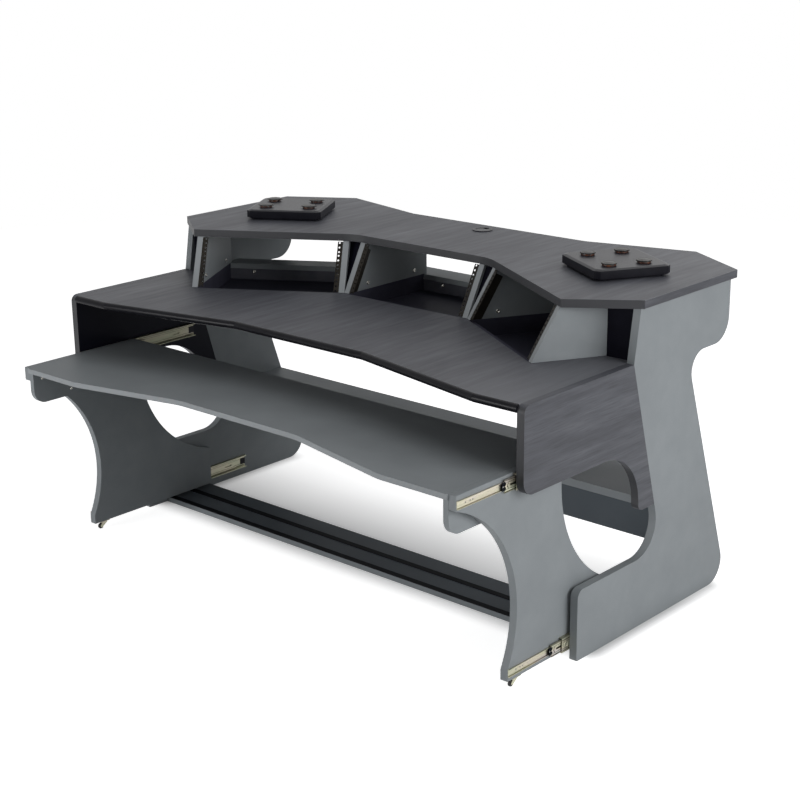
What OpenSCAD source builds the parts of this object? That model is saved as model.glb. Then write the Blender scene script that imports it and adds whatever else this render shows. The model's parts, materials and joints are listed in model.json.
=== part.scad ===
// Studio desk. Two shaped side panels carry a desktop, three rack bays that lean back and a top shelf.
// A keyboard tray on two castors slides out from under the desktop on four telescopic slides.
// Lengths are in millimetres. X runs to the sitter's right, Y away from the sitter, Z up from the floor.
// The profiles below count Y from the cheeks' front edge. seat() then centres the desk on its origin.

/* [Boards] */
// Thickness of the side panels, cheeks, desktop and shelves
board_t = 25; // [22:1:28]
// Thickness of the rack side boards
rack_t = 20; // [18:1:22]
// Thickness of the tray's brackets, the wells, the rack backs and the floor rail
thin_t = 18; // [15:1:20]
// Thickness of the keyboard shelf
tray_t = 16; // [15:1:18]

/* [Overall] */
// Clearance between an outer bay's rear corner and its side panel
bay_rear_gap = 5.6; // [2:0.1:40]
// Height of the desktop's upper face
desk_z = 826.5; // [810:0.5:850]

/* [Side panels] */
// Front of the foot, behind the cheeks' front edge
foot_front_y = 257; // [240:1:300]
// Height of the foot at its front
foot_h = 218; // [190:1:240]
// Rounding on top of the foot's toe
toe_r = 25; // [10:1:40]
// Where the rear edge's line meets the floor
foot_rear_y = 1058; // [1040:1:1100]
// Rounding of the heel
heel_r = 70; // [40:1:90]
// Front edge at the height of the desktop
panel_front_y = 502; // [480:1:515]
// Lean of the front edge
front_lean = 16; // [14:0.5:18]
// Lean of the rear edge
rear_lean = 19.1; // [17:0.1:21]
// Radius of the notch between the foot and the front edge
notch_r = 100; // [70:1:120]
// Underside of the lobe that carries the top shelf's rear
lobe_z = 795; // [760:1:810]
// Rear face of the lobe
lobe_rear_y = 1006; // [980:1:1030]
// Rounding under the lobe
lobe_r = 75; // [40:1:90]
// Rounding where the lobe runs into the rear edge
waist_r = 62; // [40:1:80]
// Front corner of the panel under the top shelf
head_front_y = 528; // [515:1:540]

/* [Cheeks] */
// Height of a cheek at its front
cheek_h = 253.5; // [230:0.5:280]
// Rounding of the upper front corner
cheek_top_r = 22; // [5:1:40]
// Rounding of the lower front corner
cheek_low_r = 42; // [10:1:60]
// Rear side of the arch in the cheek's lower edge
arch_rear_y = 547; // [530:1:560]
// Radius of the arch
arch_r = 176; // [120:1:178]
// Lowest point of the tongue behind the arch
tongue_z = 371; // [365:1:395]
// Rounding of the tongue
tongue_r = 24; // [10:1:25]

/* [Desktop] */
// Joint between two of the bumper's lengths
bumper_joint = 0.4; // [0.3:0.1:1]
// Front of the bumper at the ends
desk_nose_y = -4; // [-10:1:5]
// How far the middle of the front edge is set back
desk_sweep = 107; // [80:1:130]
// How far the middle straight passes the middle bay's corners
desk_mid_over = 5; // [0:1:30]
// Length of the end straights
desk_end_w = 149; // [120:1:180]

/* [Rack bays] */
// Clear width between the side boards
bay_clear_w = 488; // [484:1:490]
// Front of the middle bay on the desktop
bay_front_y = 597; // [580:1:610]
// Height of a bay's opening
rack_rise = 157.5; // [150:0.5:165]
// How far the front leans back over that height
rack_run = 85; // [70:1:90]
// Depth of the side boards at the desktop
rack_depth = 395; // [380:1:400]
// Turn of the outer bays towards the sitter
bay_turn = 30.5; // [28:0.5:31]
// Depth of the wells below the desktop's upper face
well_depth = 56.5; // [40:0.5:80]
// Depth of the ledge on an outer bay's back board
ledge_d = 80; // [30:1:90]
// Depth of the middle bay's ledge
ledge_mid_d = 95; // [50:1:95]
// How far the middle ledge passes the bay on either side
ledge_over = 78; // [0:1:90]
// Setback of the filler in the wedge between two bays
filler_back = 12; // [5:1:30]

/* [Rack rails] */
// Width of the punched front flange
rail_w = 18; // [16:0.5:18.5]
// Depth of the flange on the side board
rail_d = 34; // [20:1:45]
// Steel thickness
rail_t = 1.6; // [1:0.1:2.5]
// Radius of the punched holes
rail_hole_r = 3.3; // [2.5:0.1:3.6]
// Distance of a hole's middle from the side board, which sets the two columns 465.1 apart
rail_hole_in = 11.45; // [9:0.05:13]
// Rack units that the rails hold
rack_units = 4; // [3:1:4]

/* [Top shelf] */
// How far the shelf's edge stands ahead of the bays' upper front corners
shelf_lip = 2; // [0:1:10]
// How far the shelf's front corners pass the outer bays
shelf_ear = 11; // [5:1:20]
// Overhang over the side panels
shelf_over_x = 11; // [5:1:25]
// Start of the side edge
shelf_side_front_y = 530; // [515:1:560]
// End of the side edge
shelf_side_rear_y = 1023; // [1000:1:1040]
// Distance of the rear points from the side panels' outer faces
shelf_point_x = 217; // [180:1:260]
// Rear points
shelf_point_y = 1159; // [1120:1:1180]
// How far the middle of the rear edge passes the middle bay's corners
shelf_mid_over = 108; // [80:1:140]
// Rear edge in the middle
shelf_mid_y = 1069; // [1065:1:1090]
// Rounding of the two bends in the front edge
shelf_bend_r = 163; // [60:1:180]

/* [Cable grommet] */
// Distance from the shelf's rear edge
grommet_in = 72; // [50:1:100]
// Radius of the hole in the shelf
grommet_hole_r = 30; // [25:1:35]
// Width of the flange on the shelf
grommet_flange_w = 6; // [4:0.5:10]
// Height of the flange
grommet_flange_t = 3; // [2:0.5:4]
// Wall of the sleeve
grommet_wall = 2; // [1.5:0.1:3]
// Radial gap round the turning cap
grommet_gap = 0.3; // [0.2:0.05:0.5]

/* [Isolation pads] */
// Tray's length along the bay's front
pad_w = 264; // [230:1:280]
// Tray's length across that
pad_d = 246; // [210:1:260]
// Height of the recessed foot
pad_foot_h = 7; // [6:1:12]
// Setback of the recessed foot
pad_foot_in = 12; // [5:1:20]
// Height of the tray's body
pad_body_h = 28; // [18:1:32]
// Bevel round the tray's upper face
pad_bevel = 9; // [4:1:14]
// Drop of that bevel
pad_bevel_h = 4; // [2:0.5:6]
// Cut at the upright corners
pad_corner = 15; // [5:1:25]
// Spacing of the pucks along the bay's front
puck_span_u = 154; // [130:1:170]
// Spacing of the pucks across that
puck_span_n = 113; // [100:1:140]
// Radius of a puck's cap
puck_r = 24; // [18:1:28]
// Height of a puck's core
puck_core_h = 5; // [4:0.5:10]
// Thickness of a puck's cap
puck_cap_t = 4; // [3:0.5:7]
// Middle of the right pad along the bay's front
pad_right_u = 261; // [200:1:300]
// Middle of the right pad behind the bay's front
pad_right_n = 377; // [340:1:420]
// Middle of the left pad along the bay's front
pad_left_u = 277; // [200:1:300]
// Middle of the left pad behind the bay's front
pad_left_n = 389; // [340:1:420]

/* [Lower boards] */
// Height of the cable shelf's upper face
cable_shelf_z = 373; // [370:1:390]
// Front of the cable shelf
cable_shelf_front_y = 645; // [640:1:660]
// Rear of the cable shelf
cable_shelf_rear_y = 925; // [880:1:925]
// Setback of the stretcher under the cable shelf
stretcher_back = 27; // [15:1:60]
// Height of the stretcher
stretcher_h = 113; // [80:1:116]
// Front of the floor rail
floor_rail_y = 340; // [325:1:360]
// Depth of the floor rail
floor_rail_d = 190; // [150:1:210]
// Width of the black strips on the floor rail
strip_w = 22; // [18:1:26]
// Height of the strips
strip_t = 2; // [1:0.5:3]
// Distance between the strips' front edges
strip_pitch = 93; // [80:1:110]

/* [Keyboard tray] */
// Height of the tray's upper face
tray_z = 637; // [632:1:650]
// How far the tray is pulled out, as it stands in the desk
tray_out = 232; // [220:1:240]
// How far the tray's ends stand ahead of its legs
tray_lip = 5; // [3:1:10]
// How far the middle of the tray's front edge is set back
tray_sweep = 87; // [60:1:100]
// How far the middle straight ends short of the middle bay's corners
tray_mid_short = 14; // [0:1:40]
// Length of the end straights
tray_end_w = 242; // [220:1:280]
// Depth of a tray leg at the tray
tray_leg_d = 453; // [440:1:460]
// Height of the floor gap under a tray leg
tray_leg_gap = 28; // [27:1:32]
// Toe of the leg, behind its upper front corner
tray_toe_in = 219; // [215:1:225]
// Heel of the leg, behind its upper front corner
tray_heel_in = 753; // [740:1:760]
// Radius of the sweep in the leg's front edge
tray_front_r = 384; // [380:1:388]
// Centre of that sweep, ahead of the leg's upper front corner
tray_front_cy = 125; // [120:1:127]
// Height of that centre
tray_front_cz = 231; // [228:1:234]
// Radius of the sweep in the leg's rear edge
tray_rear_r = 393; // [385:1:400]
// Height of the centre of that sweep
tray_rear_cz = 547; // [540:1:555]
// Height of a bracket under the tray
bracket_h = 105; // [80:1:110]
// Length of a bracket
bracket_len = 430; // [380:1:440]
// Rounding of a bracket's front
bracket_r = 45; // [20:1:60]

/* [Telescopic slides] */
// Length of each member
slide_len = 500; // [480:5:510]
// Height of the outer member
slide_h = 45; // [40:1:46]
// Overall thickness of a slide
slide_t = 12.7; // [12:0.1:14]
// Steel thickness
slide_wall = 1.4; // [1:0.1:1.6]
// Height of the carriage
carriage_h = 36; // [34:0.5:37]
// Height of the runner
runner_h = 23; // [20:0.5:25]
// How far a carriage stands out of its outer member, as the tray stands
carriage_out = 46.4; // [30:0.2:60]
// Setback of the upper slides from the cheeks' front edge
slide_in = 2; // [0:1:10]
// Distance from the tray's upper face down to the upper slides' middle
slide_drop = 26; // [24:1:30]
// Height of the lower slides' middle
slide_low_z = 54; // [52:1:60]
// Radius of the screw holes
slide_hole_r = 2.3; // [1.5:0.1:3]
// Radius of the pressed seat round a screw hole in the outer member
emboss_r = 8; // [5:0.5:9]
// Distance of the first seat from the member's end
emboss_in = 19; // [12:1:40]

/* [Castors] */
// Distance of the swivel's axis behind the leg's toe
castor_in = 43; // [30:1:60]
// Wheel's radius
wheel_r = 10; // [9:0.5:10]
// Wheel's width
wheel_w = 8; // [6:0.5:9]
// Distance of the axle from the swivel's axis
castor_trail = 12; // [8:1:13]
// Radius of the axle
axle_r = 2; // [1.5:0.1:2.5]

/* [Fasteners] */
// Radius of the heads in the racks
screw_r = 6.5; // [3.5:0.1:7.5]
// Radius of the heads on the tray's brackets
tray_screw_r = 4.5; // [3.5:0.1:6]
// Height of a screw's head
screw_h = 2; // [1.5:0.1:2.5]
// Height of the screws on the rack side boards
side_screw_up = 21; // [15:1:40]
// Distance of the front ones behind the board's upper front corner
side_screw_in = 10; // [8:1:40]
// Distance of the rear ones from the board's rear edge
side_screw_rear = 66; // [30:1:90]
// Distance of the back board's screws from its ends
back_screw_in = 88; // [60:1:110]
// Distance of the tray's front connector behind the bracket's front
tray_screw_in = 34; // [25:1:50]
// Distance of the front connector below the tray
tray_screw_drop = 22; // [15:1:30]
// Step to the rear connector, back and down
tray_screw_step = 112; // [80:1:140]
tray_screw_fall = 60; // [40:1:70]

/* [Hidden] */
// Radial gap of a pin in its bore
running_gap = 0.05;
// Gap between curved faces and between parts that pass each other
clear = 0.3;
// Standard pitch of the rack holes inside one unit, and the unit itself
rack_unit = 44.45;
rack_hole_steps = [6.35, 22.225, 38.1];

shelf_z = desk_z + rack_rise;
shelf_top_z = shelf_z + board_t;
// The bumper is half of a round as tall as the desktop
bumper_r = board_t / 2;
rack_lean = atan2(rack_run, rack_rise);

// Outer bays turn about the middle bay's lower front corners
bay_w = bay_clear_w + 2 * rack_t;
pivot_x = bay_w / 2;
// The side panels stand just clear of the outer bays' rear corners, to a tenth of a millimetre
inner_x = round(10 * (bay_point(bay_w, rack_depth)[0] + bay_rear_gap)) / 10;
half_w = inner_x + board_t;
niche_y = head_front_y + 1;
well_floor_z = desk_z - well_depth;

tray_front_y = -tray_out;
tray_leg_out_x = inner_x - slide_t;
tray_leg_in_x = tray_leg_out_x - board_t;
slide_up_z = tray_z - slide_drop;
slide_low_y = tray_toe_in + slide_in;
castor_x = tray_leg_in_x + board_t / 2;
castor_y = tray_front_y + tray_toe_in + castor_in;

front_end_y = tray_front_y - tray_lip;
mid_y = (front_end_y + shelf_point_y) / 2;

grommet_y = shelf_mid_y - grommet_in;

wood = [0.36, 0.36, 0.38];
grey = [0.55, 0.57, 0.58];
black = [0.07, 0.07, 0.08];
zinc = [0.78, 0.77, 0.62];
nickel = [0.75, 0.75, 0.74];
amber = [0.45, 0.2, 0.08];

// Helpers

// A corner [x, y, r] of an outline as points on its arc, between the corners before and after it
function unit(v) = v / norm(v);
function flat(p) = [p[0], p[1]];
function turn(u, v) = u[0] * v[1] - u[1] * v[0];
function corner(a, b, c, r) =
    let (
        u = unit(a - b),
        v = unit(c - b),
        half = acos(max(-1, min(1, u * v))) / 2,
        reach = r / tan(half),
        middle = b + unit(u + v) * r / sin(half),
        start = b + u * reach - middle,
        first = atan2(start[1], start[0]),
        swing = (turn(u, v) > 0 ? -1 : 1) * (180 - 2 * half),
        steps = max(3, ceil(abs(swing) / (r > 150 ? 3 : 6)))
    )
    [for (i = [0 : steps]) middle + r * [cos(first + swing * i / steps), sin(first + swing * i / steps)]];
function rounded(corners) =
    let (n = len(corners))
    [for (i = [0 : n - 1])
        let (b = corners[i], a = corners[(i + n - 1) % n], c = corners[(i + 1) % n])
        each (b[2] > 0 ? corner(flat(a), flat(b), flat(c), b[2]) : [flat(b)])];

// A half outline from the middle of the front round to the middle of the rear, with its mirror image
function both_sides(half) =
    concat(half, [for (i = [len(half) - 1 : -1 : 0]) [-half[i][0], half[i][1], half[i][2]]]);

// Centres the desk on its origin
module seat() {
    translate([0, -mid_y, 0]) children();
}

// The drawing on the right side, or its mirror image on the left
module on_side(side) {
    seat() {
        if (side < 0) {
            mirror([1, 0, 0]) children();
        } else {
            children();
        }
    }
}

// A board standing on edge from x to x + t, from a profile drawn in Y and Z
module upright(x, t) {
    translate([x, 0, 0]) rotate([90, 0, 90]) linear_extrude(t) children();
}

// A board lying flat from z to z + t, from an outline drawn in X and Y
module lying(z, t) {
    translate([0, 0, z]) linear_extrude(t) children();
}

// Extrudes a profile drawn in X and Z along Y
module along_y(length) {
    rotate([90, 0, 0]) mirror([0, 0, 1]) linear_extrude(length) children();
}

// A bay's own frame: X along its front from one corner, Y into the bay
module in_bay(bay) {
    seat() {
        if (bay == 0) {
            translate([-pivot_x, bay_front_y, 0]) children();
        } else if (bay > 0) {
            translate([pivot_x, bay_front_y, 0]) rotate([0, 0, -bay_turn]) children();
        } else {
            mirror([1, 0, 0]) translate([pivot_x, bay_front_y, 0]) rotate([0, 0, -bay_turn]) children();
        }
    }
}
function bay_point(u, n) = [
    pivot_x + u * cos(bay_turn) + n * sin(bay_turn),
    bay_front_y - u * sin(bay_turn) + n * cos(bay_turn)
];
// Where the outer bay's outer face crosses a given Y
function bay_side_x(y) = bay_point(bay_w, (y - bay_point(bay_w, 0)[1]) / cos(bay_turn))[0];

// Side panels and cheeks

function panel_y(z) = panel_front_y + (desk_z - z) * tan(front_lean);
function panel_rear_y(z) = foot_rear_y - z * tan(rear_lean);

module side_panel(side) {
    color(grey) on_side(side) upright(inner_x, board_t) polygon(rounded([
        [foot_front_y, 0, 4],
        [foot_rear_y, 0, heel_r],
        [panel_rear_y(lobe_z), lobe_z, waist_r],
        [lobe_rear_y, lobe_z, lobe_r],
        [lobe_rear_y, shelf_z, 0],
        [head_front_y, shelf_z, 0],
        [panel_front_y, desk_z, 0],
        [panel_y(foot_h), foot_h, notch_r],
        [foot_front_y, foot_h, toe_r]
    ]));
}

module cheek(side) {
    low_z = desk_z - cheek_h;
    color(wood) on_side(side) upright(inner_x, board_t) polygon(rounded([
        [0, desk_z, cheek_top_r],
        [0, low_z, cheek_low_r],
        [arch_rear_y, low_z, arch_r],
        [arch_rear_y, tongue_z, tongue_r],
        [panel_y(tongue_z), tongue_z, 0],
        [panel_front_y, desk_z, 0]
    ]));
}

// Desktop and bumper

desk_wood_y = desk_nose_y + bumper_r;
desk_front = [
    [pivot_x + desk_mid_over, desk_wood_y + desk_sweep, 0],
    [inner_x - desk_end_w, desk_wood_y, 0],
    [inner_x, desk_wood_y, 0]
];

module desktop() {
    // The rear corners are cut a little short of the outer bays' side boards
    joint = 0.2;
    outer = bay_point(bay_w + joint, 0);
    color(wood) seat() lying(desk_z - board_t, board_t) polygon(rounded(both_sides(concat(desk_front, [
        [inner_x, niche_y, 0],
        [bay_side_x(niche_y) + joint / cos(bay_turn), niche_y, 0],
        [outer[0], outer[1], 0],
        [pivot_x, bay_front_y, 0]
    ]))));
}

// The front edge as points from the left end to the right end, for the bumper's five lengths
desk_edge = [
    [-inner_x, desk_front[2][1]],
    [-desk_front[1][0], desk_front[1][1]],
    [-desk_front[0][0], desk_front[0][1]],
    flat(desk_front[0]),
    flat(desk_front[1]),
    flat(desk_front[2])
];
function outward(a, b) = let (d = unit(b - a)) [d[1], -d[0]];
// Mitre direction at point i, scaled so that both neighbours are offset by one
function mitre(i) =
    i == 0 ? outward(desk_edge[0], desk_edge[1]) :
    i == len(desk_edge) - 1 ? outward(desk_edge[i - 1], desk_edge[i]) :
    let (p = outward(desk_edge[i - 1], desk_edge[i]), q = outward(desk_edge[i], desk_edge[i + 1]))
    (p + q) / (1 + p * q);

module desk_bumper() {
    color(black) seat() for (i = [0 : len(desk_edge) - 2]) {
        d = desk_edge[i + 1] - desk_edge[i];
        step = unit(d) * bumper_joint / 2;
        a = desk_edge[i] + (i > 0 ? step : [0, 0]);
        b = desk_edge[i + 1] - (i < len(desk_edge) - 2 ? step : [0, 0]);
        reach = bumper_r + 1;
        intersection() {
            translate([a[0], a[1], desk_z - bumper_r]) rotate([0, 0, atan2(d[1], d[0])])
                translate([-board_t, 0, 0]) rotate([0, 90, 0]) rotate([0, 0, 90])
                    cylinder(r = bumper_r, h = norm(d) + 2 * board_t, $fn = 48);
            lying(desk_z - board_t - 1, board_t + 2)
                polygon([a, b, b + mitre(i + 1) * reach, a + mitre(i) * reach]);
        }
    }
}

// Top shelf

module top_shelf() {
    ear = bay_point(bay_w + shelf_ear, rack_run - shelf_lip);
    front_y = bay_front_y + rack_run - shelf_lip;
    // The slanted front edge runs along the outer bay's front and meets the middle one at the bend
    bend_x = ear[0] - (front_y - ear[1]) / tan(bay_turn);
    difference() {
        color(wood) seat() lying(shelf_z, board_t) polygon(rounded(both_sides([
            [bend_x, front_y, shelf_bend_r],
            [ear[0], ear[1], 0],
            [half_w + shelf_over_x, shelf_side_front_y, 0],
            [half_w + shelf_over_x, shelf_side_rear_y, 0],
            [half_w - shelf_point_x, shelf_point_y, 0],
            [pivot_x + shelf_mid_over, shelf_mid_y, 0]
        ])));
        color(wood) seat() translate([0, grommet_y, shelf_z - 1])
            cylinder(r = grommet_hole_r, h = board_t + 2, $fn = 64);
    }
}

// Cable grommet

grommet_bore_r = grommet_hole_r - clear - grommet_wall;
grommet_floor_z = shelf_top_z - 4;

module grommet_ring() {
    color(black) seat() translate([0, grommet_y, 0]) difference() {
        union() {
            translate([0, 0, shelf_top_z])
                cylinder(r1 = grommet_hole_r + grommet_flange_w, r2 = grommet_hole_r + grommet_flange_w - 2,
                    h = grommet_flange_t, $fn = 64);
            translate([0, 0, shelf_z]) cylinder(r = grommet_hole_r - clear, h = board_t + 1, $fn = 64);
        }
        translate([0, 0, grommet_floor_z]) cylinder(r = grommet_bore_r, h = board_t, $fn = 64);
        translate([0, 0, shelf_z - 1]) cylinder(r = grommet_bore_r - 3, h = board_t, $fn = 64);
    }
}

module grommet_cap() {
    cap_t = 4;
    slot_w = 16;
    color(black) seat() translate([0, grommet_y, grommet_floor_z]) difference() {
        cylinder(r = grommet_bore_r - grommet_gap, h = cap_t + grommet_flange_t, $fn = 64);
        // Cable slot at the cap's rear edge
        translate([-slot_w / 2, grommet_bore_r - slot_w, -1])
            cube([slot_w, grommet_hole_r, cap_t + grommet_flange_t + 2]);
        // Shallow dish that leaves a rim
        translate([0, 0, cap_t + grommet_flange_t - 1]) cylinder(r = grommet_bore_r - 4, h = 2, $fn = 64);
    }
}

// Rack bays

// Profile of a side board: Y is the depth into the bay
module rack_side(bay, x) {
    color(grey) in_bay(bay) upright(x, rack_t) polygon([
        [0, desk_z], [rack_depth, desk_z], [rack_depth, shelf_z], [rack_run, shelf_z]
    ]);
}

// One rail on the side board's inner face at x = 0, leaning with the front, reaching towards +X
module rack_rail() {
    length = rack_units * rack_unit - 4;
    rail_lift = 2 + rail_t;
    translate([0, 1, desk_z]) rotate([-rack_lean, 0, 0]) translate([0, 0, rail_lift]) difference() {
        union() {
            cube([rail_w, rail_t, length - rail_t]);
            cube([rail_t, rail_d, length - rail_t - rail_d * tan(rack_lean) / 2]);
        }
        // The deep flange is cut level at the bottom, as the floor it stands over
        translate([-1, rail_t, -rail_t]) rotate([rack_lean, 0, 0]) translate([0, 0, -2 * rail_d])
            cube([rail_w + 2, 2 * rail_d, 2 * rail_d]);
        for (unit_i = [0 : rack_units - 1]) for (step = rack_hole_steps) {
            z = unit_i * rack_unit + step - rail_lift;
            translate([rail_hole_in, -1, z]) rotate([-90, 0, 0])
                cylinder(r = rail_hole_r, h = rail_t + 2, $fn = 20);
        }
    }
}

module rack_rails(bay) {
    color(black) in_bay(bay) {
        translate([rack_t, 0, 0]) rack_rail();
        translate([bay_w - rack_t, 0, 0]) mirror([1, 0, 0]) rack_rail();
    }
}

// Floor, front and side boards below the bay
module rack_well(bay) {
    front_drop = 6;
    color(black) in_bay(bay) {
        translate([0, 0, well_floor_z - thin_t]) cube([bay_w, rack_depth, thin_t]);
        translate([0, 0, well_floor_z]) cube([bay_w, thin_t, well_depth - front_drop]);
        for (x = [0, bay_w - rack_t]) {
            translate([x, 0, well_floor_z]) cube([rack_t, rack_depth, well_depth]);
        }
    }
}

module rack_back(bay) {
    color(black) in_bay(bay) translate([rack_t, rack_depth - thin_t, well_floor_z])
        cube([bay_clear_w, thin_t, well_depth - thin_t]);
}

// Boards that lie on the back boards and reach behind the bays
module rack_ledges() {
    front_y = rack_depth - thin_t;
    left_x = rack_t;
    right_x = bay_w - rack_t;
    mid_rear = front_y + ledge_mid_d;
    // Behind an outer bay the corner is cut along the side panel
    rear = front_y + ledge_d;
    wall_x = inner_x - clear - pivot_x;
    cut_n = (wall_x - right_x * cos(bay_turn)) / sin(bay_turn);
    cut_u = (wall_x - rear * sin(bay_turn)) / cos(bay_turn);
    color(grey) {
        in_bay(0) lying(desk_z - thin_t, thin_t) polygon([
            [left_x, front_y], [right_x, front_y], [right_x, rack_depth],
            [bay_w + ledge_over, rack_depth], [bay_w + ledge_over, mid_rear],
            [-ledge_over, mid_rear], [-ledge_over, rack_depth], [left_x, rack_depth]
        ]);
        for (bay = [-1, 1]) in_bay(bay) lying(desk_z - thin_t, thin_t) polygon([
            [left_x, front_y], [right_x, front_y],
            [right_x, min(rear, cut_n)], [min(right_x, cut_u), rear], [left_x, rear]
        ]);
    }
}

// Black board that leans in the wedge between the middle bay and an outer one
module wedge_fillers() {
    reach = rack_run + filler_back + thin_t;
    color(black) for (side = [-1, 1]) on_side(side) intersection() {
        lying(desk_z, rack_rise) polygon([
            [pivot_x, bay_front_y],
            [pivot_x + reach * sin(bay_turn), bay_front_y + reach * cos(bay_turn)],
            [pivot_x, bay_front_y + reach]
        ]);
        translate([pivot_x, bay_front_y + filler_back, 0]) upright(0, bay_w) polygon([
            [0, desk_z], [thin_t, desk_z], [rack_run + thin_t, shelf_z], [rack_run, shelf_z]
        ]);
    }
}

module niche_panels() {
    bottom_z = desk_z - board_t;
    color(black) for (side = [-1, 1]) on_side(side) lying(bottom_z, rack_rise + board_t) polygon([
        [bay_side_x(niche_y), niche_y],
        [inner_x, niche_y],
        [inner_x, niche_y + thin_t],
        [bay_side_x(niche_y + thin_t), niche_y + thin_t]
    ]);
}

// Screw heads on the inner faces of the side boards and on the back boards
module screw_head(r) {
    rim_h = screw_h * 0.4;
    rotate_extrude($fn = 24) polygon([[0, 0], [r, 0], [r, rim_h], [r * 0.7, screw_h], [0, screw_h]]);
}

module rack_screws() {
    side_y = [rack_run + side_screw_in, rack_depth - side_screw_rear];
    back_x = [back_screw_in, bay_clear_w - back_screw_in];
    color(nickel) for (bay = [-1 : 1]) in_bay(bay) {
        for (y = side_y) {
            translate([rack_t, y, desk_z + side_screw_up]) rotate([0, 90, 0]) screw_head(screw_r);
            translate([bay_w - rack_t, y, desk_z + side_screw_up]) rotate([0, -90, 0]) screw_head(screw_r);
        }
        for (x = back_x) {
            translate([rack_t + x, rack_depth - thin_t, well_floor_z + well_depth / 2])
                rotate([90, 0, 0]) screw_head(screw_r);
        }
    }
}

// Lower boards

module cable_shelf() {
    color(grey) seat() translate([-inner_x, cable_shelf_front_y, cable_shelf_z - board_t])
        cube([2 * inner_x, cable_shelf_rear_y - cable_shelf_front_y, board_t]);
}

module stretcher() {
    color(grey) seat()
        translate([-inner_x, cable_shelf_front_y + stretcher_back, cable_shelf_z - board_t - stretcher_h])
            cube([2 * inner_x, thin_t, stretcher_h]);
}

module floor_rail() {
    color(grey) seat() translate([-inner_x, floor_rail_y, 0]) cube([2 * inner_x, floor_rail_d, thin_t]);
}

module floor_rail_strips() {
    color(black) seat() for (i = [0, 1]) {
        translate([-inner_x, floor_rail_y + i * strip_pitch, thin_t])
            cube([2 * inner_x, strip_w, strip_t]);
    }
}

// Telescopic slides. Each member is drawn with its front at Y = 0 and its back face at X = 0,
// its middle at Z = 0, and the tray's side towards -X.

runner_flange = slide_t * 0.42;

// Distances of the members' screw holes from their fronts
outer_holes = [emboss_in, slide_len / 2, slide_len - emboss_in];
runner_holes = [34, 53, 64, slide_len / 2, slide_len - 40];

module slide_hole(x, y, r) {
    translate([x - 1, y, 0]) rotate([0, 90, 0]) cylinder(r = r, h = slide_wall + 2, $fn = 24);
}

// Round seat pressed into the back round each screw hole
module pressed_ring(y) {
    ring_w = 1.2;
    ring_depth = 0.5;
    translate([-ring_depth, y, 0]) rotate([0, 90, 0]) difference() {
        cylinder(r = emboss_r, h = 1, $fn = 40);
        translate([0, 0, -1]) cylinder(r = emboss_r - ring_w, h = 3, $fn = 40);
    }
}

// Rolled channel: a back with flanges that turn in at their edges
module outer_profile() {
    lip = 1.6;
    top = slide_h / 2;
    under = top - slide_wall;
    front = -slide_t + clear;
    polygon([
        [0, -top], [0, top], [front, top], [front, under - lip],
        [front + slide_wall, under - lip], [front + slide_wall, under],
        [-slide_wall, under], [-slide_wall, -under],
        [front + slide_wall, -under], [front + slide_wall, -under + lip],
        [front, -under + lip], [front, -top]
    ]);
}

module slide_outer_shape() {
    difference() {
        along_y(slide_len) outer_profile();
        for (y = outer_holes) {
            slide_hole(-slide_wall, y, slide_hole_r);
            pressed_ring(y);
        }
    }
}

// The carriage's web stands between the outer member and the runner
carriage_x = -(slide_wall + (slide_t - slide_wall - runner_flange - slide_wall) / 2);
web_x = carriage_x - slide_wall;

// Cut-outs in a carriage's web: the wave-shaped front edge, a chevron and a long slot behind it
module carriage_cuts() {
    wave_r = 6.5;
    chevron_y = 10;
    chevron_w = 3;
    chevron_rise = 6;
    chevron_h = 10;
    slot_y = 26;
    slot_h = 6;
    for (z = [-wave_r, wave_r]) translate([0, z]) circle(r = wave_r, $fn = 32);
    back_y = chevron_y + chevron_rise;
    polygon([
        [chevron_y, 0], [back_y, chevron_h], [back_y + chevron_w, chevron_h],
        [chevron_y + chevron_w, 0], [back_y + chevron_w, -chevron_h], [back_y, -chevron_h]
    ]);
    for (y = [slot_y, slide_len - 2 * slot_y]) {
        translate([y, -slot_h / 2]) square([slot_y, slot_h]);
        for (end = [0, slot_y]) translate([y + end, 0]) circle(d = slot_h, $fn = 24);
    }
}

module carriage_shape() {
    flange = 3.2;
    top = carriage_h / 2;
    under = top - slide_wall;
    back_x = carriage_x + flange - slide_wall;
    front_x = web_x - flange;
    difference() {
        along_y(slide_len) polygon([
            [back_x, top], [front_x, top], [front_x, under], [web_x, under],
            [web_x, -under], [front_x, -under], [front_x, -top], [back_x, -top],
            [back_x, -under], [carriage_x, -under], [carriage_x, under], [back_x, under]
        ]);
        upright(web_x - 1, slide_wall + 2) carriage_cuts();
        slide_hole(web_x, slide_len, runner_h / 2);
    }
}

module runner_profile() {
    top = runner_h / 2;
    under = top - slide_wall;
    edge = -slide_t + runner_flange;
    polygon([
        [-slide_t, -top], [-slide_t, top], [edge, top], [edge, under],
        [-slide_t + slide_wall, under], [-slide_t + slide_wall, -under], [edge, -under], [edge, -top]
    ]);
}

module runner_shape() {
    difference() {
        along_y(slide_len) runner_profile();
        for (y = runner_holes) slide_hole(-slide_t, y, slide_hole_r);
    }
}

module place_slide(side, low, y) {
    on_side(side) translate([inner_x, y + (low ? slide_low_y : slide_in), low ? slide_low_z : slide_up_z])
        children();
}

module slide_outer(side, low) {
    color(zinc) place_slide(side, low, 0) slide_outer_shape();
}

module slide_carriage(side, low) {
    color(zinc) place_slide(side, low, -carriage_out) carriage_shape();
}

module slide_runner(side, low) {
    color(zinc) place_slide(side, low, -tray_out) runner_shape();
}

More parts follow.
